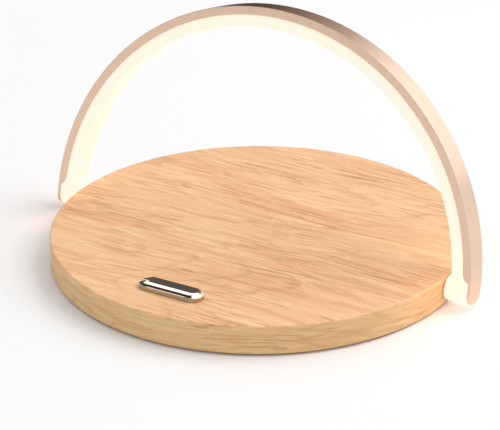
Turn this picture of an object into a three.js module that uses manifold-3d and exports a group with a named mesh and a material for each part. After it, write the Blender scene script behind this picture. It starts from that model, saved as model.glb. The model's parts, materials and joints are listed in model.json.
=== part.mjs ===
// Wireless charging base with a swinging arch lamp.
//
// Frame: millimetres, +Z up, origin on the ground under the centre of the round base.
// +X runs along the hinge axis of the arch, and -Y is the front, where the touch bar is.

import * as THREE from 'three';
import { mergeVertices } from 'three/addons/utils/BufferGeometryUtils.js';
import Module from 'manifold-3d';

const wasm = await Module();
wasm.setup();

// ---------------------------------------------------------------- driving dimensions

const BASE_RADIUS = 86;
const WOOD_THICKNESS = 12;
const GROUND_GAP = 1; // the feet lift the wood this far
const TOP_SKIN = 2.4; // wood left above the pocket
const RIM_FILLET = 0.9;
const RIM_CHAMFER = 0.6;

const ARCH_OUTER_RADIUS = 97.7;
const ARCH_DEPTH = 11.1;
const ARCH_LEAN_DEG = 10.7; // the arch rests leaning back
const ARCH_SKIN = 1;
const FLANGE_HEIGHT = 3.5; // radial height of the channel's side flanges
const FLANGE_END_HEIGHT = 8; // the flanges end this far above the hinge axis
const FLANGE_END_RADIUS = 3;
const ARCH_END_DROP = 4.3; // the tabs and hubs end this far below the hinge axis
const GLOW_INNER_RADIUS = 89.2;
const GLOW_WALL = 1.2;

const COVER_RADIUS = 80;
const COVER_THICKNESS = 2;
const POCKET_RADIUS = 72;

const BAR_LENGTH = 28;
const BAR_WIDTH = 8.5;
const BAR_HEIGHT = 3;
const BAR_Y = -67.2;

const SHAFT_RADIUS = 2;
const SHAFT_BORE = 1;
const LEAD_RADIUS = 0.5;

const GAP = 0.3; // between neighbours in the leaning arch
const FIT = 0.2; // between neighbours in the base

// ---------------------------------------------------------------- heights and radii worked out

const woodBottom = GROUND_GAP;
const woodTop = woodBottom + WOOD_THICKNESS;
const hingeHeight = woodBottom + WOOD_THICKNESS / 2;
const coverTop = woodBottom + COVER_THICKNESS;
const ceiling = woodTop - TOP_SKIN;
const halfDepth = ARCH_DEPTH / 2;
const skinInner = ARCH_OUTER_RADIUS - ARCH_SKIN;
const flangeInner = ARCH_OUTER_RADIUS - FLANGE_HEIGHT;
const boardBottom = coverTop + 1.2;
const boardTop = boardBottom + 1.2;

const FINE = 80; // facets round a large ring
const MEDIUM = 24;
const SMALL = 12;
const ARC_STEPS = 5; // each half round has twice as many facets

// ---------------------------------------------------------------- materials

const finish = (color, roughness, metalness = 0) =>
  new THREE.MeshStandardMaterial({ color, roughness, metalness });

const wood = finish(0xe3bc8b, 0.5);
const champagne = finish(0xd6b69b, 0.35, 0.8);
const milky = finish(0xfff4dc, 0.4);
const gold = finish(0xcdbb93, 0.12, 1);
const steel = finish(0xb6b8bb, 0.35, 1);
const darkPlastic = finish(0x3a3836, 0.6);
const palePlastic = finish(0xe8e4dc, 0.55);
const rubber = finish(0x2a2a2a, 0.85);
const copper = finish(0xb8733a, 0.35, 0.9);
const ferrite = finish(0x4a4a4c, 0.7);
const circuitBoard = finish(0x1f5c3a, 0.45);
const chipBlack = finish(0x1b1b1d, 0.5);
const capacitorTan = finish(0xb08a5a, 0.5);
const leadJacket = finish(0xf2f2ee, 0.5);

// ---------------------------------------------------------------- solids

function signedVolume(positions, triangles) {
  let sum = 0;
  const corner = (k) => new THREE.Vector3().fromArray(positions, 3 * triangles[k]);
  for (let k = 0; k < triangles.length; k += 3) {
    sum += corner(k).dot(corner(k + 1).cross(corner(k + 2)));
  }
  return sum / 6;
}

function solid(geometry) {
  const bare = geometry.clone();
  bare.deleteAttribute('normal');
  bare.deleteAttribute('uv');
  const merged = mergeVertices(bare, 1e-4);
  const vertProperties = Float32Array.from(merged.attributes.position.array);
  const triVerts = [];
  const index = merged.index.array;
  for (let k = 0; k < index.length; k += 3) {
    const [a, b, c] = [index[k], index[k + 1], index[k + 2]];
    if (a !== b && b !== c && a !== c) {
      triVerts.push(a, b, c);
    }
  }
  if (signedVolume(vertProperties, triVerts) < 0) {
    triVerts.reverse();
  }
  const mesh = new wasm.Mesh({ numProp: 3, vertProperties, triVerts: Uint32Array.from(triVerts) });
  return new wasm.Manifold(mesh);
}

const join = (first, ...others) => others.reduce((sum, other) => sum.add(other), first);
const cut = (first, ...others) => others.reduce((rest, other) => rest.subtract(other), first);

function box(x0, x1, y0, y1, z0, z1) {
  const geometry = new THREE.BoxGeometry(x1 - x0, y1 - y0, z1 - z0);
  return solid(geometry.translate((x0 + x1) / 2, (y0 + y1) / 2, (z0 + z1) / 2));
}

function cylinderGeometry(radius, length, facets) {
  return new THREE.CylinderGeometry(radius, radius, length, facets);
}

function rodX(radius, x0, x1, y = 0, z = 0, facets = MEDIUM) {
  const geometry = cylinderGeometry(radius, x1 - x0, facets).rotateZ(Math.PI / 2);
  return solid(geometry.translate((x0 + x1) / 2, y, z));
}

function rodY(radius, y0, y1, x, z, facets = MEDIUM) {
  return solid(cylinderGeometry(radius, y1 - y0, facets).translate(x, (y0 + y1) / 2, z));
}

function rodZ(radius, z0, z1, x = 0, y = 0, facets = MEDIUM) {
  const geometry = cylinderGeometry(radius, z1 - z0, facets).rotateX(Math.PI / 2);
  return solid(geometry.translate(x, y, (z0 + z1) / 2));
}

// A profile of [radius, height] points turned about Z.
function turnedZ(points, facets) {
  const profile = points.map(([r, z]) => new THREE.Vector2(r, z));
  return solid(new THREE.LatheGeometry(profile, facets).rotateX(Math.PI / 2));
}

// A closed profile of [radius, y] points turned about Y, which is the axis of the arch's ring.
function ringY(points, facets = FINE) {
  const profile = [...points, points[0]].map(([r, y]) => new THREE.Vector2(r, y));
  return solid(new THREE.LatheGeometry(profile, facets));
}

function extruded(shape, depth) {
  return new THREE.ExtrudeGeometry(shape, { depth, bevelEnabled: false, curveSegments: ARC_STEPS });
}

// A shape drawn in X and Y, standing from z0 to z1.
function plateZ(shape, z0, z1) {
  return solid(extruded(shape, z1 - z0).translate(0, 0, z0));
}

// A shape drawn in Y and Z, running from x0 to x1.
function barX(shape, x0, x1) {
  const turn = new THREE.Matrix4().makeBasis(
    new THREE.Vector3(0, 1, 0),
    new THREE.Vector3(0, 0, 1),
    new THREE.Vector3(1, 0, 0),
  );
  return solid(extruded(shape, x1 - x0).applyMatrix4(turn).translate(x0, 0, 0));
}

// A shape drawn in X and Z, running from y0 to y1.
function barY(shape, y0, y1) {
  const turn = new THREE.Matrix4().makeBasis(
    new THREE.Vector3(1, 0, 0),
    new THREE.Vector3(0, 0, 1),
    new THREE.Vector3(0, -1, 0),
  );
  return solid(extruded(shape, y1 - y0).applyMatrix4(turn).translate(0, y1, 0));
}

// An outline with parallel sides and round ends, centred on (x, y).
function stadium(length, width, x = 0, y = 0) {
  const r = width / 2;
  const half = length / 2 - r;
  const shape = new THREE.Shape();
  shape.absarc(x + half, y, r, -Math.PI / 2, Math.PI / 2, false);
  shape.absarc(x - half, y, r, Math.PI / 2, 1.5 * Math.PI, false);
  shape.closePath();
  return shape;
}

function outline(points) {
  return new THREE.Shape(points.map(([a, b]) => new THREE.Vector2(a, b)));
}

// A round wire along a smooth curve through the given points.
function wire(points, radius, steps) {
  const path = new THREE.CatmullRomCurve3(points.map((p) => new THREE.Vector3(...p)), false, 'centripetal');
  const section = new THREE.Shape();
  section.absarc(0, 0, radius, 0, 2 * Math.PI, false);
  return solid(new THREE.ExtrudeGeometry(section, {
    steps,
    bevelEnabled: false,
    extrudePath: path,
    curveSegments: 4,
  }));
}

function geometryOf(manifold) {
  const mesh = manifold.getMesh();
  const geometry = new THREE.BufferGeometry();
  geometry.setAttribute('position', new THREE.BufferAttribute(Float32Array.from(mesh.vertProperties), 3));
  geometry.setIndex(new THREE.BufferAttribute(Uint32Array.from(mesh.triVerts), 1));
  return geometry;
}

function place(group, name, manifold, material) {
  const mesh = new THREE.Mesh(geometryOf(manifold), material);
  mesh.name = name;
  group.add(mesh);
}

const sides = [['left', -1], ['right', 1]];
const polar = (radius, degrees) => {
  const a = THREE.MathUtils.degToRad(degrees);
  return [radius * Math.cos(a), radius * Math.sin(a)];
};
const onSide = (manifold, sign) => (sign > 0 ? manifold : manifold.mirror([1, 0, 0]));

// ---------------------------------------------------------------- places inside the base

const FOOT_RADIUS = 8;
const FOOT_RECESS = 0.6;
const FOOT_CIRCLE = 60;
const COVER_SCREW_CIRCLE = 76;
const CORNER_ANGLES = [45, 135, 225, 315];

const BUSH_RADIUS = 3.1;
const BUSH_FLANGE_RADIUS = 4.6;
const BUSH_FLANGE = 0.6;
const HINGE_PLATE_X = 69.8; // inner face of the plate
const HINGE_PLATE_THICKNESS = 1.2;
const HINGE_PLATE_HALF_WIDTH = 9;
const HINGE_SCREW_Y = 6.5;
const BARREL_RADIUS = 3.4;
const BARREL_LENGTH = 3.3;
const SHAFT_INNER_END = 62.8;

const PORT_MOUTH_Y = 81.6;
const PORT_LENGTH = 7.3;
const PORT_WIDTH = 8.94;
const PORT_HEIGHT = 3.26;
const PORT_WALL = 0.3;
const PORT_BEZEL_REAR_Y = 81.2;
const PORT_BEZEL_THICKNESS = 1.2;
const PLUG_RECESS_WIDTH = 13;
const PLUG_RECESS_HEIGHT = 7;
const CHANNEL_HALF_WIDTH = 11;
const portZ = boardTop + PORT_HEIGHT / 2;
const channelEndY = PORT_MOUTH_Y + FIT;

const BOARD_HALF_WIDTH = 28;
const BOARD_FRONT_Y = 35;
const BOARD_REAR_Y = 63;
const BOARD_NECK_HALF_WIDTH = 8;
const boardScrews = [
  [-24, 39],
  [24, 39],
  [-24, 59],
  [24, 59],
];

const TOUCH_BOARD_LENGTH = 20;
const TOUCH_BOARD_WIDTH = 8.6;
const TOUCH_BOARD_Y = -66;
const touchBoardTop = boardBottom + 1;
const touchScrews = [
  [-7.6, TOUCH_BOARD_Y],
  [7.6, TOUCH_BOARD_Y],
];
const TOUCH_STEM_RADIUS = 2;
const touchStemBottom = ceiling - 1.6;

// ---------------------------------------------------------------- base: shell, cover and feet

function woodShell() {
  const profile = [[0, woodBottom], [BASE_RADIUS - RIM_CHAMFER, woodBottom], [BASE_RADIUS, woodBottom + RIM_CHAMFER]];
  const arcSteps = 3;
  for (let k = 0; k <= arcSteps; k += 1) {
    const a = (k / arcSteps) * (Math.PI / 2);
    profile.push([
      BASE_RADIUS - RIM_FILLET * (1 - Math.cos(a)),
      woodTop - RIM_FILLET * (1 - Math.sin(a)),
    ]);
  }
  profile.push([0, woodTop]);
  let shell = turnedZ(profile, FINE);
  shell = cut(
    shell,
    rodZ(COVER_RADIUS + FIT, woodBottom - 1, coverTop, 0, 0, FINE),
    rodZ(POCKET_RADIUS, coverTop - 1, ceiling, 0, 0, FINE),
    box(-CHANNEL_HALF_WIDTH, CHANNEL_HALF_WIDTH, POCKET_RADIUS - 6, channelEndY, coverTop, ceiling),
    barY(stadium(PLUG_RECESS_WIDTH, PLUG_RECESS_HEIGHT, 0, portZ), channelEndY - 1, BASE_RADIUS + 1),
    rodZ(TOUCH_STEM_RADIUS + FIT, ceiling - 1, woodTop + 1, 0, BAR_Y, SMALL),
  );
  for (const sign of [-1, 1]) {
    const bore = rodX(BUSH_RADIUS + FIT, POCKET_RADIUS - 2, BASE_RADIUS + 1, 0, hingeHeight);
    shell = cut(shell, onSide(bore, sign));
    for (const y of [-HINGE_SCREW_Y, HINGE_SCREW_Y]) {
      shell = cut(shell, onSide(rodX(1.2, POCKET_RADIUS - 2, 80, y, hingeHeight, SMALL), sign));
    }
  }
  for (const angle of CORNER_ANGLES) {
    const [x, y] = polar(COVER_SCREW_CIRCLE, angle);
    shell = cut(shell, rodZ(1.5, coverTop - 1, 9.4, x, y, SMALL));
  }
  return shell;
}

function screwBoss(x, y) {
  return rodZ(2.6, coverTop - 0.5, boardBottom, x, y, SMALL);
}

function bottomCover() {
  let cover = rodZ(COVER_RADIUS, woodBottom, coverTop, 0, 0, FINE);
  for (const [x, y] of [...boardScrews, ...touchScrews]) {
    cover = join(cover, screwBoss(x, y));
  }
  for (const [x, y] of [...boardScrews, ...touchScrews]) {
    cover = cut(cover, rodZ(1.1, coverTop - 1.2, boardBottom + 1, x, y, SMALL));
  }
  for (const angle of CORNER_ANGLES) {
    const [fx, fy] = polar(FOOT_CIRCLE, angle);
    const [sx, sy] = polar(COVER_SCREW_CIRCLE, angle);
    cover = cut(
      cover,
      rodZ(FOOT_RADIUS + FIT, woodBottom - 1, woodBottom + FOOT_RECESS, fx, fy),
      rodZ(2.9, woodBottom - 1, woodBottom + 1.3, sx, sy, SMALL),
      rodZ(1.5, woodBottom, coverTop + 1, sx, sy, SMALL),
    );
  }
  return cover;
}

function foot(angle) {
  const [x, y] = polar(FOOT_CIRCLE, angle);
  const edge = 0.4;
  const profile = [
    [0, 0],
    [FOOT_RADIUS - edge, 0],
    [FOOT_RADIUS, edge],
    [FOOT_RADIUS, woodBottom + FOOT_RECESS],
    [0, woodBottom + FOOT_RECESS],
  ];
  return turnedZ(profile, MEDIUM).translate([x, y, 0]);
}

// A screw pointing up, with the face of its head at z = 0.
function screw(headRadius, headHeight, shankRadius, length) {
  return turnedZ(
    [
      [0, 0],
      [headRadius, 0],
      [headRadius, headHeight],
      [shankRadius, headHeight],
      [shankRadius, length],
      [0, length],
    ],
    SMALL,
  );
}

function coverScrew(angle) {
  const [x, y] = polar(COVER_SCREW_CIRCLE, angle);
  const arm = 1.7;
  const slot = 0.3;
  return cut(
    screw(2.6, 1.2, 1.3, 8),
    box(-arm, arm, -slot, slot, -1, 0.6),
    box(-slot, slot, -arm, arm, -1, 0.6),
  ).translate([x, y, woodBottom + 0.1]);
}

function addShell(group) {
  place(group, 'wood_shell', woodShell(), wood);
  place(group, 'bottom_cover', bottomCover(), darkPlastic);
  CORNER_ANGLES.forEach((angle, k) => {
    place(group, `foot_${k + 1}`, foot(angle), rubber);
    place(group, `cover_screw_${k + 1}`, coverScrew(angle), steel);
  });
}

// ---------------------------------------------------------------- base: charging coil

const COIL_INNER = 10;
const COIL_OUTER = 24.5;
const COIL_THICKNESS = 1.5;
const FERRITE_RADIUS = 26;
const FERRITE_THICKNESS = 0.8;
const CARRIER_RADIUS = 28;
const CARRIER_PLATE = 1.2;
const coilTop = ceiling - GAP;
const ferriteTop = coilTop - COIL_THICKNESS;
const carrierTop = ferriteTop - FERRITE_THICKNESS;

function coilCarrier() {
  let carrier = rodZ(CARRIER_RADIUS, carrierTop - CARRIER_PLATE, ferriteTop + 0.6, 0, 0, MEDIUM);
  carrier = cut(carrier, rodZ(FERRITE_RADIUS + FIT, carrierTop, ceiling, 0, 0, MEDIUM));
  for (const angle of [90, 210, 330]) {
    const [x, y] = polar(CARRIER_RADIUS - 3, angle);
    carrier = join(carrier, rodZ(2.4, coverTop, carrierTop - CARRIER_PLATE / 2, x, y, SMALL));
  }
  return cut(carrier, rodZ(5, coverTop, ceiling, 0, 0, SMALL));
}

function addCoil(group) {
  const ring = (inner, outer, z0, z1) => cut(rodZ(outer, z0, z1), rodZ(inner, z0 - 1, z1 + 1));
  place(group, 'coil_carrier', coilCarrier(), palePlastic);
  place(group, 'ferrite_sheet', ring(5, FERRITE_RADIUS, carrierTop, ferriteTop), ferrite);
  place(group, 'charging_coil', ring(COIL_INNER, COIL_OUTER, ferriteTop, coilTop), copper);
  const leadZ = carrierTop - CARRIER_PLATE - 1;
  const coilLead = wire(
    [
      [0, 4, leadZ],
      [0, 14, leadZ],
      [6, 24, leadZ],
      [8, 32, leadZ],
      [8, 40, boardTop + LEAD_RADIUS + FIT],
      [8, 44, boardTop + LEAD_RADIUS + FIT],
    ],
    LEAD_RADIUS,
    18,
  );
  place(group, 'coil_lead', coilLead, copper);
}

// ---------------------------------------------------------------- base: main board and inlet

function mainBoard() {
  const neck = BOARD_NECK_HALF_WIDTH;
  const shape = outline([
    [-BOARD_HALF_WIDTH, BOARD_FRONT_Y],
    [BOARD_HALF_WIDTH, BOARD_FRONT_Y],
    [BOARD_HALF_WIDTH, BOARD_REAR_Y],
    [neck, BOARD_REAR_Y],
    [neck, PORT_MOUTH_Y - 0.6],
    [-neck, PORT_MOUTH_Y - 0.6],
    [-neck, BOARD_REAR_Y],
    [-BOARD_HALF_WIDTH, BOARD_REAR_Y],
  ]);
  let board = plateZ(shape, boardBottom, boardTop);
  for (const [x, y] of boardScrews) {
    board = cut(board, rodZ(1.2, boardBottom - 1, boardTop + 1, x, y, SMALL));
  }
  return board;
}

function downwardScrew(x, y, headBottom) {
  const head = 1.1;
  return screw(1.9, head, 0.9, 3.2).rotate([180, 0, 0]).translate([x, y, headBottom + head]);
}

function portShell() {
  const rear = PORT_MOUTH_Y - PORT_LENGTH;
  const inner = stadium(PORT_WIDTH - 2 * PORT_WALL, PORT_HEIGHT - 2 * PORT_WALL, 0, portZ);
  return cut(
    barY(stadium(PORT_WIDTH, PORT_HEIGHT, 0, portZ), rear, PORT_MOUTH_Y),
    barY(inner, rear + PORT_WALL, PORT_MOUTH_Y + 1),
  );
}

function portTongue() {
  const rear = PORT_MOUTH_Y - PORT_LENGTH + 0.5;
  const blockEnd = rear + 1.8;
  const blockHalf = PORT_HEIGHT / 2 - 0.5;
  return join(
    barY(stadium(PORT_WIDTH - 1, 2 * blockHalf, 0, portZ), rear, blockEnd),
    box(-3.3, 3.3, blockEnd - 0.3, PORT_MOUTH_Y - 0.7, portZ - 0.35, portZ + 0.35),
  );
}

// The plate that fills the plug recess round the port's mouth.
function portBezel() {
  const rear = PORT_BEZEL_REAR_Y;
  const front = rear + PORT_BEZEL_THICKNESS;
  return cut(
    barY(stadium(PLUG_RECESS_WIDTH - 2 * FIT, PLUG_RECESS_HEIGHT - 2 * FIT, 0, portZ), rear, front),
    barY(stadium(PORT_WIDTH + 2 * FIT, PORT_HEIGHT + 2 * FIT, 0, portZ), rear - 1, front + 1),
  );
}

function chip(x, y, width, depth, height) {
  const z = boardTop;
  return box(x - width / 2, x + width / 2, y - depth / 2, y + depth / 2, z, z + height);
}

function filterInductor(x, y) {
  const core = chip(x, y, 7, 7, 3);
  return cut(core, cut(rodZ(3, boardTop + 2.6, boardTop + 4, x, y), rodZ(2, boardTop, boardTop + 4, x, y)));
}

function leadSocket(x, y) {
  return cut(chip(x, y, 6, 4.4, 3.2), box(x - 2.2, x + 2.2, y - 3, y + 1.4, boardTop + 0.8, boardTop + 2.6));
}

function addElectronics(group) {
  place(group, 'main_board', mainBoard(), circuitBoard);
  boardScrews.forEach(([x, y], k) => {
    place(group, `board_screw_${k + 1}`, downwardScrew(x, y, boardTop), steel);
  });
  place(group, 'charge_controller', chip(-4, 50, 6, 6, 0.9), chipBlack);
  place(group, 'power_stage', chip(-14, 50, 5, 5, 0.9), chipBlack);
  place(group, 'led_driver', chip(15, 52, 4, 3, 1.2), chipBlack);
  place(group, 'filter_inductor', filterInductor(-14, 41), ferrite);
  [-3, 1, 5].forEach((x, k) => {
    place(group, `resonant_capacitor_${k + 1}`, chip(x, 40, 2.5, 3.2, 2.2), capacitorTan);
  });
  place(group, 'lead_socket', leadSocket(19, 45), palePlastic);
  place(group, 'usb_port_shell', portShell(), steel);
  place(group, 'usb_port_tongue', portTongue(), chipBlack);
  place(group, 'port_bezel', portBezel(), darkPlastic);
}

// ---------------------------------------------------------------- base: touch switch

function touchBar() {
  const edge = 0.5;
  const top = woodTop + BAR_HEIGHT;
  const body = new THREE.ExtrudeGeometry(
    stadium(BAR_LENGTH - 2 * edge, BAR_WIDTH - 2 * edge, 0, BAR_Y),
    {
      depth: BAR_HEIGHT,
      bevelEnabled: true,
      bevelThickness: edge,
      bevelSize: edge,
      bevelSegments: 2,
      curveSegments: 8,
    },
  ).translate(0, 0, top - BAR_HEIGHT - edge);
  const clipped = cut(solid(body), box(-20, 20, BAR_Y - 10, BAR_Y + 10, woodTop - 5, woodTop));
  return join(clipped, rodZ(TOUCH_STEM_RADIUS, touchStemBottom, woodTop + 1, 0, BAR_Y, SMALL));
}

function touchSpring() {
  const turns = 3;
  const steps = 30;
  const radius = 1.5;
  const low = touchBoardTop + 0.4;
  const high = touchStemBottom - 0.4;
  const points = [];
  for (let k = 0; k <= steps; k += 1) {
    const a = (k / steps) * turns * 2 * Math.PI;
    const z = low + (k / steps) * (high - low);
    points.push([radius * Math.cos(a), BAR_Y + radius * Math.sin(a), z]);
  }
  return wire(points, 0.25, 36);
}

function touchBoard() {
  const half = TOUCH_BOARD_LENGTH / 2;
  const halfWidth = TOUCH_BOARD_WIDTH / 2;
  let board = box(-half, half, TOUCH_BOARD_Y - halfWidth, TOUCH_BOARD_Y + halfWidth, boardBottom, touchBoardTop);
  for (const [x, y] of touchScrews) {
    board = cut(board, rodZ(1.2, boardBottom - 1, boardTop + 1, x, y, SMALL));
  }
  return board;
}

function addTouchSwitch(group) {
  place(group, 'touch_bar', touchBar(), gold);
  place(group, 'touch_spring', touchSpring(), steel);
  place(group, 'touch_board', touchBoard(), circuitBoard);
  const sensor = box(2.8, 5.4, TOUCH_BOARD_Y + 1, TOUCH_BOARD_Y + 3.4, touchBoardTop, touchBoardTop + 1.1);
  place(group, 'touch_sensor', sensor, chipBlack);
  touchScrews.forEach(([x, y], k) => {
    place(group, `touch_board_screw_${k + 1}`, downwardScrew(x, y, touchBoardTop), steel);
  });
  const z = touchBoardTop + LEAD_RADIUS + FIT;
  const lead = wire(
    [
      [-4, TOUCH_BOARD_Y + 3, z],
      [-8, -58, z],
      [-24, -46, z],
      [-37, -24, z],
      [-40, 0, z],
      [-36, 24, z],
      [-28, 38, boardTop + LEAD_RADIUS + FIT],
      [-20, 46, boardTop + LEAD_RADIUS + FIT],
    ],
    LEAD_RADIUS,
    32,
  );
  place(group, 'touch_lead', lead, leadJacket);
}

// ---------------------------------------------------------------- base: hinge

function hingePlate() {
  const half = HINGE_PLATE_HALF_WIDTH;
  const outer = HINGE_PLATE_X + HINGE_PLATE_THICKNESS;
  let plate = join(
    box(HINGE_PLATE_X, outer, -half, half, coverTop + 0.4, ceiling - 0.2),
    rodX(BARREL_RADIUS, HINGE_PLATE_X - BARREL_LENGTH, HINGE_PLATE_X + 0.5, 0, hingeHeight),
  );
  plate = cut(plate, rodX(SHAFT_RADIUS + FIT, 60, 80, 0, hingeHeight));
  for (const y of [-HINGE_SCREW_Y, HINGE_SCREW_Y]) {
    plate = cut(plate, rodX(1.2, 60, 80, y, hingeHeight, SMALL));
  }
  return plate;
}

function hingeScrew(y) {
  const head = 1.3;
  return screw(1.9, head, 1, 9).rotate([0, 90, 0]).translate([HINGE_PLATE_X - head, y, hingeHeight]);
}

function hingeBush() {
  const sleeve = join(
    rodX(BUSH_RADIUS, HINGE_PLATE_X + 1.5, BASE_RADIUS + 0.1, 0, hingeHeight),
    rodX(BUSH_FLANGE_RADIUS, BASE_RADIUS, BASE_RADIUS + BUSH_FLANGE, 0, hingeHeight),
  );
  return cut(sleeve, rodX(SHAFT_RADIUS + FIT, 60, 90, 0, hingeHeight));
}

function ledLead() {
  const z = hingeHeight;
  return wire(
    [
      [SHAFT_INNER_END - GAP, 0, z],
      [56, 0, z],
      [46, 8, z],
      [36, 24, z],
      [26, 36, z],
      [19, 41, boardTop + 1.7],
      [19, 44, boardTop + 1.7],
    ],
    LEAD_RADIUS,
    24,
  );
}

function addHingeMounts(group) {
  for (const [side, sign] of sides) {
    place(group, `hinge_plate_${side}`, onSide(hingePlate(), sign), steel);
    place(group, `hinge_bush_${side}`, onSide(hingeBush(), sign), palePlastic);
    [-HINGE_SCREW_Y, HINGE_SCREW_Y].forEach((y, k) => {
      place(group, `hinge_screw_${side}_${k + 1}`, onSide(hingeScrew(y), sign), steel);
    });
  }
  place(group, 'led_lead', ledLead(), leadJacket);
}

// ---------------------------------------------------------------- arch, drawn upright about its hinge axis

const HUB_INNER_X = BASE_RADIUS + BUSH_FLANGE + GAP;
const HUB_OUTER_X = skinInner - 0.5;
const SHAFT_HEAD_RADIUS = 3.5;
const SHAFT_HEAD = 0.9;
const shaftHeadX = skinInner - GAP - SHAFT_HEAD;
const STRIP_OUTER = skinInner - GAP;
const STRIP_THICKNESS = 0.5;
const LED_COUNT = 24;
const LEAD_X = 92;

// The arch seen from its side: parallel faces that end in a half ellipse below the hinge axis.
function sideOutline(top) {
  const shape = new THREE.Shape();
  shape.moveTo(halfDepth, top);
  shape.lineTo(-halfDepth, top);
  shape.absellipse(0, 0, halfDepth, ARCH_END_DROP, Math.PI, 2 * Math.PI, false, 0);
  shape.closePath();
  return shape;
}

function above(z) {
  const reach = ARCH_OUTER_RADIUS + 5;
  return box(-reach, reach, -halfDepth - 1, halfDepth + 1, z, reach);
}

function archBand() {
  const web = halfDepth - ARCH_SKIN;
  const channel = ringY([
    [flangeInner, -halfDepth],
    [ARCH_OUTER_RADIUS, -halfDepth],
    [ARCH_OUTER_RADIUS, halfDepth],
    [flangeInner, halfDepth],
    [flangeInner, web],
    [skinInner, web],
    [skinInner, -web],
    [flangeInner, -web],
  ]);
  const skin = ringY([
    [skinInner, -halfDepth],
    [ARCH_OUTER_RADIUS, -halfDepth],
    [ARCH_OUTER_RADIUS, halfDepth],
    [skinInner, halfDepth],
  ]);
  const cornerX = flangeInner + FLANGE_END_RADIUS;
  const corner = rodY(FLANGE_END_RADIUS, -halfDepth - 1, halfDepth + 1, cornerX, FLANGE_END_HEIGHT);
  const kept = join(above(FLANGE_END_HEIGHT), corner, onSide(corner, -1));
  const tab = box(skinInner, ARCH_OUTER_RADIUS, -halfDepth, halfDepth, -halfDepth, 0);
  const skinAndTabs = join(skin.intersect(above(0)), tab, onSide(tab, -1));
  const rounded = barX(sideOutline(ARCH_OUTER_RADIUS + 5), -ARCH_OUTER_RADIUS - 1, ARCH_OUTER_RADIUS + 1);
  return join(channel.intersect(kept), skinAndTabs.intersect(rounded));
}

function archDiffuser() {
  const outer = flangeInner - GAP;
  const side = halfDepth - GLOW_WALL;
  const legOuter = halfDepth - ARCH_SKIN - GAP;
  const legInner = legOuter - 1;
  const legTop = STRIP_OUTER - STRIP_THICKNESS - GAP;
  const half = [
    [GLOW_INNER_RADIUS, halfDepth],
    [outer, halfDepth],
    [outer, legOuter],
    [legTop, legOuter],
    [legTop, legInner],
    [outer - GLOW_WALL, legInner],
    [outer - GLOW_WALL, side],
    [GLOW_INNER_RADIUS + GLOW_WALL, side],
  ];
  const mirrored = half.map(([r, y]) => [r, -y]).reverse();
  return ringY([...half, ...mirrored]).intersect(above(FLANGE_END_HEIGHT + GAP));
}

function ledStrip() {
  const inner = STRIP_OUTER - STRIP_THICKNESS;
  const halfWidth = halfDepth - ARCH_SKIN - 0.6;
  let strip = ringY([
    [inner, -halfWidth],
    [STRIP_OUTER, -halfWidth],
    [STRIP_OUTER, halfWidth],
    [inner, halfWidth],
  ]).intersect(above(FLANGE_END_HEIGHT + GAP));
  for (let k = 0; k < LED_COUNT; k += 1) {
    const degrees = 8 + (164 * k) / (LED_COUNT - 1);
    const led = box(inner - 0.7, inner + 0.2, -1.4, 1.4, -1.7, 1.7).rotate([0, -degrees, 0]);
    strip = join(strip, led);
  }
  return strip;
}

function hub() {
  const shoulderX = HUB_INNER_X + 2.3;
  const shoulderZ = 4.6;
  const cornerX = flangeInner + FLANGE_END_RADIUS;
  const reach = FLANGE_END_RADIUS + GAP;
  const shoulder = outline([
    [HUB_INNER_X - 1, shoulderZ],
    [HUB_INNER_X, shoulderZ],
    [shoulderX, FLANGE_END_HEIGHT + 0.01],
    [HUB_INNER_X - 1, FLANGE_END_HEIGHT + 0.01],
  ]);
  return cut(
    barX(sideOutline(FLANGE_END_HEIGHT), HUB_INNER_X, HUB_OUTER_X),
    barY(shoulder, -halfDepth - 1, halfDepth + 1),
    rodY(reach, -halfDepth - 1, halfDepth + 1, cornerX, FLANGE_END_HEIGHT),
    rodX(SHAFT_RADIUS + GAP, HUB_INNER_X - 1, HUB_OUTER_X + 1),
    rodX(SHAFT_HEAD_RADIUS + GAP, shaftHeadX - GAP, HUB_OUTER_X + 1),
    rodZ(LEAD_RADIUS + GAP, 0, FLANGE_END_HEIGHT + 1, LEAD_X, 0, SMALL),
  );
}

function hingeShaft(bored) {
  const shaft = join(
    rodX(SHAFT_RADIUS, SHAFT_INNER_END, shaftHeadX + 0.2),
    rodX(SHAFT_HEAD_RADIUS, shaftHeadX, shaftHeadX + SHAFT_HEAD),
  );
  if (!bored) {
    return shaft;
  }
  return cut(
    shaft,
    rodX(SHAFT_BORE, SHAFT_INNER_END - 1, LEAD_X + SHAFT_BORE, 0, 0, SMALL),
    rodZ(SHAFT_BORE, 0, SHAFT_RADIUS + 1, LEAD_X, 0, SMALL),
  );
}

const WASHER_RADIUS = 3.3;
const WASHER_THICKNESS = 0.5;
const NUT_RADIUS = 3.4;
const NUT_THICKNESS = 2.1;
const washerX = HINGE_PLATE_X - BARREL_LENGTH - GAP - WASHER_THICKNESS;
const nutX = washerX - GAP - NUT_THICKNESS;

function threadedRing(radius, x0, length, facets) {
  return cut(rodX(radius, x0, x0 + length, 0, 0, facets), rodX(SHAFT_RADIUS + FIT, x0 - 1, x0 + length + 1));
}

// The lead drops from the strip through the hub, turns into the bored shaft and runs to its end.
function archLead() {
  return wire(
    [
      [94, 0, 11],
      [92.6, 0, 9.6],
      [LEAD_X, 0, 7.6],
      [LEAD_X, 0, 4.4],
      [LEAD_X, 0, 1.6],
      [LEAD_X - 0.5, 0, 0.45],
      [LEAD_X - 1.8, 0, 0],
      [86, 0, 0],
      [76, 0, 0],
      [SHAFT_INNER_END + 0.1, 0, 0],
    ],
    LEAD_RADIUS - 0.1,
    36,
  );
}

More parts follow.
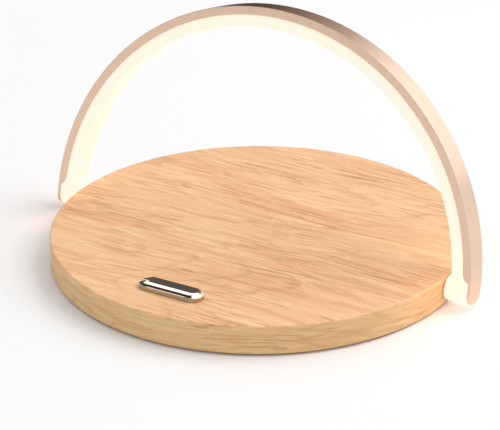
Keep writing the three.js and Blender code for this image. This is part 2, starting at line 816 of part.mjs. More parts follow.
function addArch(group) {
  place(group, 'arch_band', archBand(), champagne);
  place(group, 'arch_diffuser', archDiffuser(), milky);
  place(group, 'led_strip', ledStrip(), palePlastic);
  for (const [side, sign] of sides) {
    place(group, `hub_${side}`, onSide(hub(), sign), milky);
    place(group, `hinge_shaft_${side}`, onSide(hingeShaft(sign > 0), sign), steel);
    const washer = threadedRing(WASHER_RADIUS, washerX, WASHER_THICKNESS, MEDIUM);
    place(group, `friction_washer_${side}`, onSide(washer, sign), steel);
    const nut = threadedRing(NUT_RADIUS, nutX, NUT_THICKNESS, 6);
    place(group, `shaft_nut_${side}`, onSide(nut, sign), steel);
  }
  place(group, 'arch_lead', archLead(), leadJacket);
}

// ---------------------------------------------------------------- assembly

const base = new THREE.Group();
addShell(base);
addCoil(base);
addElectronics(base);
addTouchSwitch(base);
addHingeMounts(base);

const arch = new THREE.Group();
arch.position.set(0, 0, hingeHeight);
arch.rotation.x = -THREE.MathUtils.degToRad(ARCH_LEAN_DEG);
addArch(arch);

const group = new THREE.Group();
group.add(base, arch);

export default group;
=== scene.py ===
"""Looks for the wireless charging base with a swinging arch lamp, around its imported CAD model."""

import json
import math

import bmesh
import bpy
from mathutils import Matrix, Vector


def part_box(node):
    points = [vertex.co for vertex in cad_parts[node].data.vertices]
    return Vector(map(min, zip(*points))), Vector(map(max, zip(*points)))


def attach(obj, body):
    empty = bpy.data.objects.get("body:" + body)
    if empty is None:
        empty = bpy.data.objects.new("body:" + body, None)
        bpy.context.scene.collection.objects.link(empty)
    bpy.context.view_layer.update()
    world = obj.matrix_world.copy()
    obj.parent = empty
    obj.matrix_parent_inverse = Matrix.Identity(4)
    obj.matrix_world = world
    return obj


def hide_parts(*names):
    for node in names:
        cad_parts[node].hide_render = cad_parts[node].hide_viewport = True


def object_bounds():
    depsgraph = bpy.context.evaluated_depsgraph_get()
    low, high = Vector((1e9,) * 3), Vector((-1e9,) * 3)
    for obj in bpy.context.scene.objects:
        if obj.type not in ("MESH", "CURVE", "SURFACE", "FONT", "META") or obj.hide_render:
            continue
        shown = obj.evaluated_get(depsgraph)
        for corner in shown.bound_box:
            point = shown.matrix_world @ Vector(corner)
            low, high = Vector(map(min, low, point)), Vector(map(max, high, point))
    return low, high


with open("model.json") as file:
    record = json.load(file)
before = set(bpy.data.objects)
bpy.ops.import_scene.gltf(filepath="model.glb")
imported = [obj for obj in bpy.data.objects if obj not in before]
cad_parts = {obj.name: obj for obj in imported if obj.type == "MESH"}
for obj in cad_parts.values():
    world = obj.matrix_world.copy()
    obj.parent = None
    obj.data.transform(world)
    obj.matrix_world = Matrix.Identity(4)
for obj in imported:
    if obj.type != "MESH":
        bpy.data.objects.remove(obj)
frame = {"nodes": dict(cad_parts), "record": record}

cad_low, cad_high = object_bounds()

MM = 0.001

# ---------------------------------------------------------------- dimensions, in metres

wood_low, wood_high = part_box("wood_shell")
bar_low, bar_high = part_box("touch_bar")
hub_low, hub_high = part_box("hub_right")
bush_low, bush_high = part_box("hinge_bush_right")
port_low, port_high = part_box("usb_port_shell")

SLIVER = 0.001 * MM
WELD = 1e-7
BEYOND = 1 * MM
BASE_RADIUS = wood_high.x
WOOD_BOTTOM = wood_low.z
WOOD_TOP = wood_high.z
TOP_SKIN = 2.4 * MM
CEILING = WOOD_TOP - TOP_SKIN
RIM_FILLET = 0.9 * MM
RIM_CHAMFER = 0.6 * MM
POCKET_RADIUS = 72 * MM
COVER_RADIUS = 80 * MM
COVER_TOP = WOOD_BOTTOM + 2 * MM
COVER_FIT = 0.2 * MM
SHANK_HOLE = 1.5 * MM
BAR_LEDGE_DROP = 1.08 * MM

HINGE_HEIGHT = (WOOD_BOTTOM + WOOD_TOP) / 2
ARCH_LEAN = math.radians(10.7)
ARCH_RADIUS = cad_high.x
ARCH_HALF_DEPTH = 5.55 * MM
SKIN = 1 * MM
FLANGE_RADIUS = ARCH_RADIUS - 3.5 * MM
FLANGE_END_HEIGHT = 8 * MM
FLANGE_END_RADIUS = 3 * MM
GLOW_RADIUS = 89.2 * MM
GLOW_WALL = 1.2 * MM
ARCH_END_DROP = 4.3 * MM
PORT_HEIGHT = (port_low.z + port_high.z) / 2
GAP = 0.3 * MM
GLOW_FIT = 0.12 * MM
HUB_SHOULDER_HEIGHT = 4.6 * MM
HUB_SHOULDER_RUN = 2.3 * MM

FLOOR_RADIUS = 0.46
FLOOR_FADE_START = 0.26
FLOOR_FADE_END = 0.45

# ---------------------------------------------------------------- colours, as linear red, green, blue

LIGHT_WOOD = (0.93, 0.62, 0.355)
MID_WOOD = (0.87, 0.53, 0.285)
ROSY_WOOD = (0.77, 0.38, 0.20)
LINE_WOOD = (0.60, 0.30, 0.155)
PORE_WOOD = (0.36, 0.18, 0.09)
EDGE_TINT = (0.82, 0.89, 0.79)
GLOW_PALE = (0.83, 0.795, 0.66)
GLOW_WARM = (0.82, 0.785, 0.64)
GLOW_EDGE = (0.82, 0.73, 0.56)
GLOW_FADE = (0.86, 0.86, 0.84)
# painted glow: the colour the hub's emission brightens to at its foot
HUB_FOOT_PAINTED_GLOW = (1.0, 0.9, 0.75)
SPILL = (1.0, 0.40, 0.22)
WHITE = (1.0, 1.0, 1.0)
DAYLIGHT = (0.99, 0.993, 1.0)
BROWN_PANEL = (0.19, 0.108, 0.075)
DEEP_PANEL = (0.105, 0.09, 0.08)
HORIZON_PANEL = (0.02, 0.012, 0.01)
FRONT_PANEL = (0.05, 0.035, 0.03)
BACKDROP = 0.97


# ---------------------------------------------------------------- mesh helpers


def link(name, mesh):
    """A new object whose broad faces shade flat and whose narrow ones carry the rounding."""
    piece = bpy.data.objects.new(name, mesh)
    bpy.context.scene.collection.objects.link(piece)
    piece.modifiers.new("even_normals", "WEIGHTED_NORMAL").keep_sharp = True
    return piece


def finish_mesh(bm, name, sharp_degrees=32):
    """Cleans a bmesh, shades it smooth except across sharp edges, and makes it an object."""
    bmesh.ops.remove_doubles(bm, verts=bm.verts, dist=WELD)
    bmesh.ops.dissolve_degenerate(bm, edges=bm.edges, dist=WELD)
    bmesh.ops.recalc_face_normals(bm, faces=bm.faces)
    limit = math.radians(sharp_degrees)
    for face in bm.faces:
        face.smooth = True
    for edge in bm.edges:
        edge.smooth = len(edge.link_faces) == 2 and edge.calc_face_angle() < limit
    mesh = bpy.data.meshes.new(name)
    bm.to_mesh(mesh)
    bm.free()
    return link(name, mesh)


def skin_rings(bm, rings):
    """Joins closed rings of points, one after the other, and caps both ends."""
    rows = [[bm.verts.new(p) for p in ring] for ring in rings]
    for row, after in zip(rows, rows[1:]):
        for k in range(len(row)):
            j = (k + 1) % len(row)
            bm.faces.new((row[k], row[j], after[j], after[k]))
    bm.faces.new(rows[0])
    bm.faces.new(rows[-1])


def lofted(name, rings, sharp_degrees=32):
    """A closed solid through the rings."""
    bm = bmesh.new()
    skin_rings(bm, rings)
    return finish_mesh(bm, name, sharp_degrees)


def hooped(name, rings):
    """A solid with a hole through it: the last ring joins back to the first."""
    bm = bmesh.new()
    rows = [[bm.verts.new(p) for p in ring] for ring in rings]
    for row, after in zip(rows, rows[1:] + rows[:1]):
        for k in range(len(row)):
            j = (k + 1) % len(row)
            bm.faces.new((row[k], row[j], after[j], after[k]))
    return finish_mesh(bm, name)


def circle(radius, z, count, x=0.0, y=0.0):
    """A level ring of points."""
    turn = 2 * math.pi / count
    return [
        Vector((x + radius * math.cos(k * turn), y + radius * math.sin(k * turn), z))
        for k in range(count)
    ]


def turned(name, profile, count, x=0.0, y=0.0):
    """A solid turned about an upright axis, from (radius, height) points."""
    return lofted(name, [circle(r, z, count, x, y) for r, z in profile])


def arc(centre_a, centre_b, radius, start, end, steps):
    """Points on an arc in a plane, from one angle to another in degrees."""
    points = []
    for k in range(steps + 1):
        angle = math.radians(start + (end - start) * k / steps)
        points.append((centre_a + radius * math.cos(angle), centre_b + radius * math.sin(angle)))
    return points


def rod_x(name, radius, x0, x1, z, count=48, y=0.0):
    """A plain cylinder along X."""
    rings = [[Vector((x, p.x + y, p.y + z)) for p in circle(radius, 0, count)] for x in (x0, x1)]
    return lofted(name, rings)


def pin(radius, z0, z1, x=0.0, y=0.0, count=32):
    """A plain upright cylinder, for cutting and joining."""
    return turned("pin", [(radius, z0), (radius, z1)], count, x, y)


def combine(piece, tools, operation="DIFFERENCE"):
    """Cuts the tools out of the piece, or joins them to it, and removes them."""
    for tool in tools:
        modifier = piece.modifiers.new("combine", "BOOLEAN")
        modifier.operation = operation
        modifier.solver = "EXACT"
        modifier.object = tool
    bpy.context.view_layer.update()
    graph = bpy.context.evaluated_depsgraph_get()
    bm = bmesh.new()
    bm.from_mesh(piece.evaluated_get(graph).to_mesh())
    name = piece.name
    for old in [piece, *tools]:
        bpy.data.objects.remove(old)
    return finish_mesh(bm, name)


def stadium(length, width, per_end, per_side):
    """(x, y) points round an outline with parallel sides and round ends."""
    r = width / 2
    half = length / 2 - r
    points = []
    for k in range(per_end + 1):
        a = -math.pi / 2 + math.pi * k / per_end
        points.append((half + r * math.cos(a), r * math.sin(a)))
    for k in range(1, per_side):
        points.append((half - 2 * half * k / per_side, r))
    for k in range(per_end + 1):
        a = math.pi / 2 + math.pi * k / per_end
        points.append((-half + r * math.cos(a), r * math.sin(a)))
    for k in range(1, per_side):
        points.append((-half + 2 * half * k / per_side, -r))
    return points


def middle(node):
    """The centre of a node's box in plan."""
    low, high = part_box(node)
    return (low.x + high.x) / 2, (low.y + high.y) / 2


def port_rings(sections):
    """Rings across Y, centred on the inlet, from (length, height, y) sections."""
    return [
        [Vector((x, y, PORT_HEIGHT + z)) for x, z in stadium(length, height, 24, 4)]
        for length, height, y in sections
    ]


# ---------------------------------------------------------------- material helpers


class Nodes:
    """A node tree, with short calls for the nodes that materials and the world share."""

    def node(self, kind, inputs=(), **settings):
        made = self.tree.nodes.new(kind)
        for key, value in settings.items():
            setattr(made, key, value)
        for key, value in dict(inputs).items():
            if isinstance(value, bpy.types.NodeSocket):
                self.tree.links.new(value, made.inputs[key])
            else:
                made.inputs[key].default_value = value
        return made

    def rise(self, value, start, end, curve="SMOOTHSTEP"):
        """0 where the value is at start, 1 where it is at end."""
        inputs = {"Value": value, "From Min": start, "From Max": end}
        return self.node("ShaderNodeMapRange", inputs, interpolation_type=curve).outputs["Result"]


class Shader(Nodes):
    """A material with a Principled shader."""

    def __init__(self, name, roughness=0.5, metallic=0.0):
        self.material = bpy.data.materials.new(name)
        self.material.use_nodes = True
        self.tree = self.material.node_tree
        self.bsdf = self.tree.nodes["Principled BSDF"]
        self.set("Roughness", roughness)
        self.set("Metallic", metallic)

    def set(self, socket, value):
        self.bsdf.inputs[socket].default_value = value

    def feed(self, socket, output):
        self.tree.links.new(output, self.bsdf.inputs[socket])

    def position(self):
        """Object coordinates, in metres."""
        return self.node("ShaderNodeTexCoord").outputs["Object"]

    def vector(self, operation, a, b=(0, 0, 0), c=(0, 0, 0)):
        return self.node("ShaderNodeVectorMath", {0: a, 1: b, 2: c}, operation=operation).outputs[0]

    def stretch(self, vector, scale):
        return self.vector("MULTIPLY", vector, scale)

    def place(self, scale):
        """Object coordinates stretched by a number along each axis."""
        return self.stretch(self.position(), scale)

    def height(self):
        return self.node("ShaderNodeSeparateXYZ", {0: self.position()}).outputs[2]

    def length(self, vector):
        made = self.node("ShaderNodeVectorMath", {0: vector}, operation="LENGTH")
        return made.outputs["Value"]

    def bend(self, vector, scale, reach):
        """Moves points by a slow noise, up to about half of reach each way."""
        noise = self.node("ShaderNodeTexNoise", {"Vector": self.stretch(vector, scale), "Scale": 1.0})
        centred = self.vector("SUBTRACT", noise.outputs["Color"], (0.5, 0.5, 0.5))
        return self.vector("MULTIPLY_ADD", centred, reach, vector)

    def noise(self, vector, detail=3.0, roughness=0.5):
        inputs = {"Vector": vector, "Scale": 1.0, "Detail": detail, "Roughness": roughness}
        return self.node("ShaderNodeTexNoise", inputs).outputs["Fac"]

    def math(self, operation, a, b=0.0, c=0.0):
        return self.node("ShaderNodeMath", {0: a, 1: b, 2: c}, operation=operation).outputs[0]

    def ramp(self, factor, stops):
        """stops is a list of (position, colour or grey)."""
        made = self.node("ShaderNodeValToRGB", {"Fac": factor})
        elements = made.color_ramp.elements
        while len(elements) < len(stops):
            elements.new(0.5)
        for element, (position, colour) in zip(elements, stops):
            element.position = position
            element.color = (*colour, 1) if isinstance(colour, tuple) else (colour,) * 3 + (1,)
        return made.outputs["Color"]

    def mix(self, factor, a, b, blend="MIX"):
        made = self.node("ShaderNodeMix", {"Factor": factor}, data_type="RGBA", blend_type=blend)
        for index, value in ((6, a), (7, b)):
            if isinstance(value, bpy.types.NodeSocket):
                self.tree.links.new(value, made.inputs[index])
            else:
                made.inputs[index].default_value = (*value, 1)
        return made.outputs[2]

    def bump(self, height, distance, strength):
        inputs = {"Height": height, "Distance": distance, "Strength": strength}
        self.feed("Normal", self.node("ShaderNodeBump", inputs).outputs["Normal"])


def around_rim(shader):
    """Coordinates of the edge band, as round the rim, up and outwards, and 1 where a point is on it."""
    x, y, z = shader.node("ShaderNodeSeparateXYZ", {0: shader.position()}).outputs
    angle = shader.math("ARCTAN2", y, x)
    radius = shader.length(shader.place((1, 1, 0)))
    along = shader.math("MULTIPLY", angle, BASE_RADIUS)
    wrapped = shader.node("ShaderNodeCombineXYZ", {0: along, 1: z, 2: radius}).outputs[0]
    out = shader.math("SUBTRACT", radius, BASE_RADIUS)
    down = shader.math("SUBTRACT", z, WOOD_TOP)
    return wrapped, shader.math("GREATER_THAN", out, down)


def wood_material():
    """Pale oiled beech: grain along X on the top, and an edge band whose grain runs round the rim."""
    shader = Shader("wood")
    wrapped, on_rim = around_rim(shader)
    flat = shader.node("ShaderNodeMix", {"Factor": on_rim}, data_type="VECTOR")
    shader.tree.links.new(shader.position(), flat.inputs[4])
    shader.tree.links.new(wrapped, flat.inputs[5])
    grain = shader.bend(flat.outputs[1], (12, 30, 30), (0.004, 0.010, 0.010))
    grain = shader.bend(grain, (80, 230, 230), (0.001, 0.0016, 0.0016))

    figure = shader.noise(shader.stretch(grain, (5, 26, 26)), detail=1)
    rings = shader.math("FRACT", shader.math("MULTIPLY", figure, 17))
    late = shader.ramp(rings, [(0.0, 0.0), (0.74, 0.0), (0.95, 1.0), (1.0, 0.0)])
    broad = shader.noise(shader.stretch(grain, (18, 260, 260)), detail=5, roughness=0.75)
    fine = shader.noise(shader.stretch(grain, (34, 900, 900)), detail=3, roughness=0.6)
    patch = shader.noise(shader.stretch(grain, (22, 70, 70)), detail=2)
    blush = shader.noise(shader.stretch(grain, (16, 60, 60)), detail=2)
    pores = shader.ramp(
        shader.noise(shader.stretch(grain, (170, 2600, 2600)), detail=1), [(0.64, 0.0), (0.72, 1.0)]
    )

    ground = shader.ramp(broad, [(0.34, LIGHT_WOOD), (0.52, MID_WOOD), (0.72, ROSY_WOOD)])
    blushed = shader.mix(shader.ramp(blush, [(0.5, 0.0), (0.75, 0.55)]), ground, ROSY_WOOD)
    ring_strength = shader.ramp(patch, [(0.35, 0.15), (0.65, 0.55)])
    ringed = shader.mix(shader.math("MULTIPLY", late, ring_strength), blushed, LINE_WOOD)
    lines = shader.math(
        "MULTIPLY",
        shader.ramp(fine, [(0.52, 0.0), (0.6, 1.0)]),
        shader.ramp(patch, [(0.38, 0.2), (0.62, 0.9)]),
    )
    lined = shader.mix(lines, ringed, LINE_WOOD)
    porous = shader.mix(shader.math("MULTIPLY", pores, 0.3), lined, PORE_WOOD)
    tinted = shader.mix(0.8, porous, EDGE_TINT, "MULTIPLY")
    shader.feed("Base Color", shader.mix(on_rim, porous, tinted))
    shader.feed("Roughness", shader.ramp(fine, [(0.3, 0.44), (0.7, 0.6)]))
    shader.set("Specular IOR Level", 0.3)
    sunk = shader.math("MULTIPLY_ADD", lines, 0.5, pores)
    shader.bump(shader.math("SUBTRACT", 1.0, sunk), 0.05 * MM, 0.4)
    return shader.material


def metal_material(name, light, dark, roughness, grazing=WHITE, lacquer=0.0):
    """Metal with a faint mottle, a fine grain and slightly uneven gloss, lacquered or bare."""
    shader = Shader(name, roughness, 1.0)
    mottle = shader.noise(shader.place((60, 60, 60)), detail=3)
    fine = shader.noise(shader.place((2600, 2600, 2600)), detail=2)
    shader.feed("Base Color", shader.ramp(mottle, [(0.3, dark), (0.7, light)]))
    shader.feed("Roughness", shader.ramp(fine, [(0.3, roughness * 0.85), (0.7, roughness * 1.15)]))
    shader.set("Specular Tint", (*grazing, 1))
    shader.set("Coat Weight", lacquer)
    shader.set("Coat Roughness", 0.25)
    shader.set("Coat IOR", 1.6)
    shader.bump(fine, 0.01 * MM, 0.5)
    return shader.material


def touch_material():
    """Polished pale gold, with a rougher wall under the ledge whose colour is painted darker as painted
    shade.
    """
    shader = Shader("touch_metal", metallic=1.0)
    ledge = bar_high.z - BAR_LEDGE_DROP
    satin_and_painted_shade = shader.rise(shader.height(), ledge - 0.02 * MM, ledge - 0.08 * MM, "LINEAR")
    mottle = shader.noise(shader.place((60, 60, 60)), detail=3)
    fine = shader.noise(shader.place((300, 2600, 2600)), detail=2)
    polished = shader.ramp(mottle, [(0.3, (0.90, 0.84, 0.73)), (0.7, (0.93, 0.87, 0.77))])
    # Below the ledge the colour is painted shade: a darker gold that stands in for the shade on the bar's
    # wall.
    shader.feed("Base Color", shader.mix(satin_and_painted_shade, polished, (0.50, 0.46, 0.40)))
    brushed = shader.ramp(fine, [(0.3, 0.16), (0.7, 0.28)])
    shader.feed("Roughness", shader.mix(satin_and_painted_shade, (0.03, 0.03, 0.03), brushed))
    shader.bump(fine, 0.002 * MM, 0.3)
    return shader.material


def plastic_material(name, light, dark, roughness):
    """Moulded plastic, rubber or ceramic: a fine spark-eroded grain and a faint drift of tone."""
    shader = Shader(name, roughness)
    drift = shader.noise(shader.place((45, 45, 45)), detail=3)
    fine = shader.noise(shader.place((1800, 1800, 1800)), detail=2)
    shader.feed("Base Color", shader.ramp(drift, [(0.3, dark), (0.7, light)]))
    shader.feed("Roughness", shader.ramp(fine, [(0.3, roughness * 0.9), (0.7, roughness * 1.1)]))
    shader.bump(fine, 0.02 * MM, 0.4)
    return shader.material


def milk(name):
    """Milky plastic lit from inside, with a slight cloudiness. Returns the shader and the glow's colour."""
    shader = Shader(name, 0.42)
    haze = shader.noise(shader.place((140, 140, 140)), detail=2)
    shader.feed("Base Color", shader.ramp(haze, [(0.3, (0.15, 0.145, 0.13)), (0.7, (0.18, 0.175, 0.16))]))
    shader.set("Emission Strength", 1.0)
    shader.bump(shader.noise(shader.place((1500, 1500, 1500)), detail=2), 0.01 * MM, 0.4)
    return shader, shader.ramp(haze, [(0.3, GLOW_PALE), (0.7, GLOW_WARM)])


def diffuser_material():
    """Warm beside the metal, and paler where the light spills over the back edge."""
    shader, cloudy = milk("diffuser")
    centred = shader.vector("SUBTRACT", shader.position(), (0, 0, HINGE_HEIGHT))
    outwards = shader.rise(shader.length(centred), GLOW_RADIUS, FLANGE_RADIUS, "LINEAR")
    across = shader.ramp(outwards, [(0.7, 0.0), (1.0, 0.8)])
    depth_axis = (0, math.cos(ARCH_LEAN), -math.sin(ARCH_LEAN))
    depth = shader.node("ShaderNodeVectorMath", {0: centred, 1: depth_axis}, operation="DOT_PRODUCT")
    spill = shader.rise(depth.outputs["Value"], 3 * MM, ARCH_HALF_DEPTH)
    faded = shader.mix(spill, cloudy, GLOW_FADE)
    shader.feed("Emission Color", shader.mix(across, faded, GLOW_EDGE))
    return shader.material


def hub_material():
    """The same milk, with a painted glow that brightens it towards its foot."""
    shader, cloudy = milk("hub")
    # Painted glow: the emission brightens from the hinge axis down to the hub's foot.
    low = shader.rise(shader.height(), HINGE_HEIGHT, hub_low.z)
    shader.feed("Emission Color", shader.mix(low, cloudy, HUB_FOOT_PAINTED_GLOW))
    return shader.material


def board_material():
    """Green solder mask over a pattern of copper tracks."""
    shader = Shader("circuit_board", 0.35)
    tracks = shader.node(
        "ShaderNodeTexBrick",
        {
            "Vector": shader.position(),
            "Scale": 160.0,
            "Mortar Size": 0.08,
            "Color1": (0.02, 0.12, 0.05, 1),
            "Color2": (0.025, 0.14, 0.06, 1),
            "Mortar": (0.06, 0.24, 0.10, 1),
        },
    )
    shader.feed("Base Color", tracks.outputs["Color"])
    shader.bump(tracks.outputs["Fac"], 0.03 * MM, 0.5)
    return shader.material


def coil_material():
    """Enamelled copper wire wound flat, as rings one beside the next."""
    shader = Shader("copper", 0.3, 1.0)
    pitch = 1.2 * MM
    radius = shader.length(shader.place((1, 1, 0)))
    wave = shader.math("SINE", shader.math("MULTIPLY", radius, 2 * math.pi / pitch))
    shader.feed("Base Color", shader.ramp(wave, [(0.0, (0.36, 0.13, 0.05)), (1.0, (0.75, 0.36, 0.18))]))
    shader.bump(wave, 0.1 * MM, 0.6)
    return shader.material


materials = {
    "wood": wood_material(),
    "arch_metal": metal_material(
        "arch_metal", (0.79, 0.55, 0.405), (0.77, 0.53, 0.385), 0.22, (0.90, 0.80, 0.70), lacquer=1.0
    ),
    "touch_metal": touch_material(),
    "glow": diffuser_material(),
    "hub": hub_material(),
    "cover": plastic_material("cover", (0.035, 0.034, 0.033), (0.025, 0.025, 0.025), 0.6),
    "foot_rubber": plastic_material("foot_rubber", (0.030, 0.030, 0.030), (0.020, 0.020, 0.020), 0.85),
    "screw_steel": metal_material("screw_steel", (0.62, 0.62, 0.63), (0.5, 0.5, 0.51), 0.3),
    "hinge_steel": metal_material("hinge_steel", (0.60, 0.60, 0.61), (0.5, 0.5, 0.5), 0.35),
    "bush_plastic": plastic_material("bush_plastic", (0.82, 0.76, 0.66), (0.78, 0.72, 0.62), 0.5),
    "carrier_plastic": plastic_material("carrier_plastic", (0.80, 0.78, 0.74), (0.75, 0.73, 0.69), 0.5),
    "ferrite": plastic_material("ferrite", (0.06, 0.06, 0.065), (0.04, 0.04, 0.045), 0.7),
    "copper": coil_material(),
    "circuit_board": board_material(),
    "chip": plastic_material("chip", (0.02, 0.02, 0.022), (0.012, 0.012, 0.014), 0.45),
    "capacitor": plastic_material("capacitor", (0.42, 0.28, 0.15), (0.34, 0.22, 0.12), 0.4),
    "port_steel": metal_material("port_steel", (0.68, 0.68, 0.69), (0.6, 0.6, 0.61), 0.22),
    "contact_gold": metal_material("contact_gold", (0.90, 0.66, 0.30), (0.82, 0.58, 0.24), 0.25),
    "lead_jacket": plastic_material("lead_jacket", (0.78, 0.78, 0.75), (0.7, 0.7, 0.68), 0.45),
    "strip": plastic_material("strip", (0.84, 0.82, 0.74), (0.78, 0.75, 0.68), 0.4),
}


def dress(piece, look):
    """Gives a piece one material."""
    piece.data.materials.clear()
    piece.data.materials.append(materials[look])


def add_piece(piece, body, slot, *nodes, look=None):
    """Puts a finished piece on its body, in its material, in place of the CAD nodes it stands for."""
    dress(piece, look or slot)
    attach(piece, body)
    if nodes:
        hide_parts(*nodes)


for row in frame["record"]["subparts"]:
    dress(frame["nodes"][row["node"]], row["material_slot"])


# ---------------------------------------------------------------- wood shell


def wood_profile():
    """Half section of the shell, from the pocket's ceiling round the rim to the middle of the top."""
    fit_radius = COVER_RADIUS + COVER_FIT
    profile = [
        (0, CEILING),
        (POCKET_RADIUS, CEILING),
        (POCKET_RADIUS, COVER_TOP),
        (fit_radius, COVER_TOP),
        (fit_radius, WOOD_BOTTOM),
        (BASE_RADIUS - RIM_CHAMFER, WOOD_BOTTOM),
    ]
    profile += arc(BASE_RADIUS - RIM_CHAMFER, WOOD_BOTTOM + RIM_CHAMFER, RIM_CHAMFER, -80, 0, 4)
    inner = BASE_RADIUS - RIM_FILLET
    over_chamfer, beside = 2 * MM, 0.3 * MM
    profile += [(BASE_RADIUS, WOOD_BOTTOM + over_chamfer), (BASE_RADIUS, WOOD_TOP - RIM_FILLET - beside)]
    profile += arc(inner, WOOD_TOP - RIM_FILLET, RIM_FILLET, 0, 90, 8)
    profile += [(inner - beside, WOOD_TOP)]
    profile += [(inner * share, WOOD_TOP) for share in (0.9, 0.5, 0)]
    return profile


def hinge_holes():
    """Bores for the hinge bushes, and holes for the screws beside them."""
    bore_radius, screw_radius = 3.3 * MM, 1.2 * MM
    screw_offset, screw_end = 6.5 * MM, 80 * MM
    inner, rim = POCKET_RADIUS - BEYOND, BASE_RADIUS + BEYOND
    holes = []
    for sign in (-1, 1):
        holes.append(rod_x("bore", bore_radius, sign * inner, sign * rim, HINGE_HEIGHT))
        for y in (-screw_offset, screw_offset):
            span = (sign * (inner - BEYOND), sign * screw_end)
            holes.append(rod_x("screw_hole", screw_radius, *span, HINGE_HEIGHT, 16, y))
    return holes


def port_cuts():
    """The plug's recess in the rim, with eased edges, and the channel behind it."""
    end = port_high.y + 0.2 * MM
    length, height = 13 * MM, 7 * MM
    flare = 0.9 * MM
    lip = BASE_RADIUS - 0.7 * MM
    sections = [
        (length, height, end - 1 * MM),
        (length, height, lip),
        (length + flare, height + flare, BASE_RADIUS + 0.2 * MM),
        (length + flare, height + flare, BASE_RADIUS + 2 * MM),
    ]
    half, start = 11 * MM, 66 * MM
    corners = [(-half, COVER_TOP), (half, COVER_TOP), (half, CEILING), (-half, CEILING)]
    channel = [[Vector((x, y, z)) for x, z in corners] for y in (start, end)]
    return [lofted("recess", port_rings(sections)), lofted("channel", channel)]


def add_wood_shell():
    """The turned shell, with the hinges' bores, the inlet's recess, and holes for stem and screws."""
    shell = turned("wood_top_shell", wood_profile(), 256)
    stem_hole, screw_hole_top = 2.2 * MM, 9.4 * MM
    holes = hinge_holes() + port_cuts()
    holes.append(pin(stem_hole, CEILING - BEYOND, WOOD_TOP + BEYOND, *middle("touch_bar")))
    for k in range(1, 5):
        screw = middle(f"cover_screw_{k}")
        holes.append(pin(SHANK_HOLE, COVER_TOP - BEYOND, screw_hole_top, *screw, 16))
    add_piece(combine(shell, holes), "base", "wood", "wood_shell")


# ---------------------------------------------------------------- touch bar


def add_touch_bar():
    """A polished capsule on a stem: a flat crown, a slope, a steep brow, a ledge and the wall."""
    length = bar_high.x - bar_low.x
    width = bar_high.y - bar_low.y
    centre_y = (bar_low.y + bar_high.y) / 2
    stem_width = 4 * MM
    ease, foot_ease = 0.03 * MM, 0.15 * MM
    fineness = (28, 10)
    ledge = bar_high.z - BAR_LEDGE_DROP
    top_lean = math.tan(math.radians(1.6))
    profile = [(2.6 * MM, 0.02 * MM), (1.19 * MM, 0.42 * MM), (0.3 * MM, 1.02 * MM), (0, BAR_LEDGE_DROP)]
    corners = [(inset, bar_high.z - drop) for inset, drop in profile]

    def ring(inset, z):
        """One ring of the cap: fuller at the back than at the front, and leaning back more as it rises."""
        lean = top_lean * max(0, (z - ledge) / (bar_high.z - ledge))
        fuller = (width / 2 - 0.4 * inset) / (width / 2 - inset)
        points = []
        for x, y in stadium(length - 2 * inset, width - 2 * inset, *fineness):
            y *= fuller if y > 0 else 1
            points.append(Vector((x, y + centre_y, z - lean * (y + width / 2))))
        return points

    def stem_ring(z):
        return [Vector((x, y + centre_y, z)) for x, y in stadium(stem_width, stem_width, *fineness)]

    rings = [ring(width / 2 - SLIVER, bar_high.z)]
    outline = [(width / 2, bar_high.z), *corners, (0, WOOD_TOP + foot_ease)]
    for before, here, after in zip(outline, outline[1:], outline[2:]):
        for other in (before, after):
            share = ease / math.dist(here, other)
            rings.append(ring(*(a + (b - a) * share for a, b in zip(here, other))))
    rings += [ring(0, WOOD_TOP + foot_ease), ring(foot_ease, WOOD_TOP)]
    rings += [stem_ring(WOOD_TOP), stem_ring(bar_low.z)]
    bar = lofted("touch_bar_cap", rings, 60)
    add_piece(bar, "base", "touch_metal", "touch_bar")


# ---------------------------------------------------------------- feet


def add_feet():
    """Round rubber feet with an eased lower edge."""
    edge = 0.4 * MM
    for k in range(1, 5):
        low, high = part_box(f"foot_{k}")
        radius = (high.x - low.x) / 2
        profile = [(0, low.z), (radius - edge, low.z)]
        profile += arc(radius - edge, low.z + edge, edge, -80, 0, 5)
        profile += [(radius, high.z), (0, high.z)]
        foot = turned(f"rubber_foot_{k}", profile, 64, *middle(f"foot_{k}"))
        add_piece(foot, "base", "foot_rubber", f"foot_{k}")


# ---------------------------------------------------------------- bottom cover and its screws


def add_bottom_cover():
    """The moulded plate: bosses inside for the boards' screws, and recesses below for feet and screws."""
    edge = 0.3 * MM
    profile = [(0, WOOD_BOTTOM), (COVER_RADIUS - edge, WOOD_BOTTOM)]
    profile += arc(COVER_RADIUS - edge, WOOD_BOTTOM + edge, edge, -80, 0, 4)
    profile += [(COVER_RADIUS, COVER_TOP), (0, COVER_TOP)]
    plate = turned("cover_plate", profile, 192)
    boss_radius, boss_root = 2.6 * MM, 0.5 * MM
    pilot_radius, pilot_depth = 1.1 * MM, 1.2 * MM
    foot_recess, head_recess, head_depth = 8.2 * MM, 2.9 * MM, 1.3 * MM
    boss_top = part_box("main_board")[0].z
    screws = [f"board_screw_{k}" for k in range(1, 5)]
    screws += [f"touch_board_screw_{k}" for k in range(1, 3)]
    bosses, holes = [], []
    for screw in screws:
        bosses.append(pin(boss_radius, COVER_TOP - boss_root, boss_top, *middle(screw)))
        holes.append(pin(pilot_radius, COVER_TOP - pilot_depth, boss_top + BEYOND, *middle(screw), 24))
    below = WOOD_BOTTOM - BEYOND
    for k in range(1, 5):
        foot, screw = middle(f"foot_{k}"), middle(f"cover_screw_{k}")
        holes.append(pin(foot_recess, below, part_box(f"foot_{k}")[1].z, *foot, 64))
        holes.append(pin(head_recess, below, WOOD_BOTTOM + head_depth, *screw))
        holes.append(pin(SHANK_HOLE, below, COVER_TOP + BEYOND, *screw))
    cover = combine(combine(plate, bosses, "UNION"), holes)
    add_piece(cover, "base", "cover", "bottom_cover")


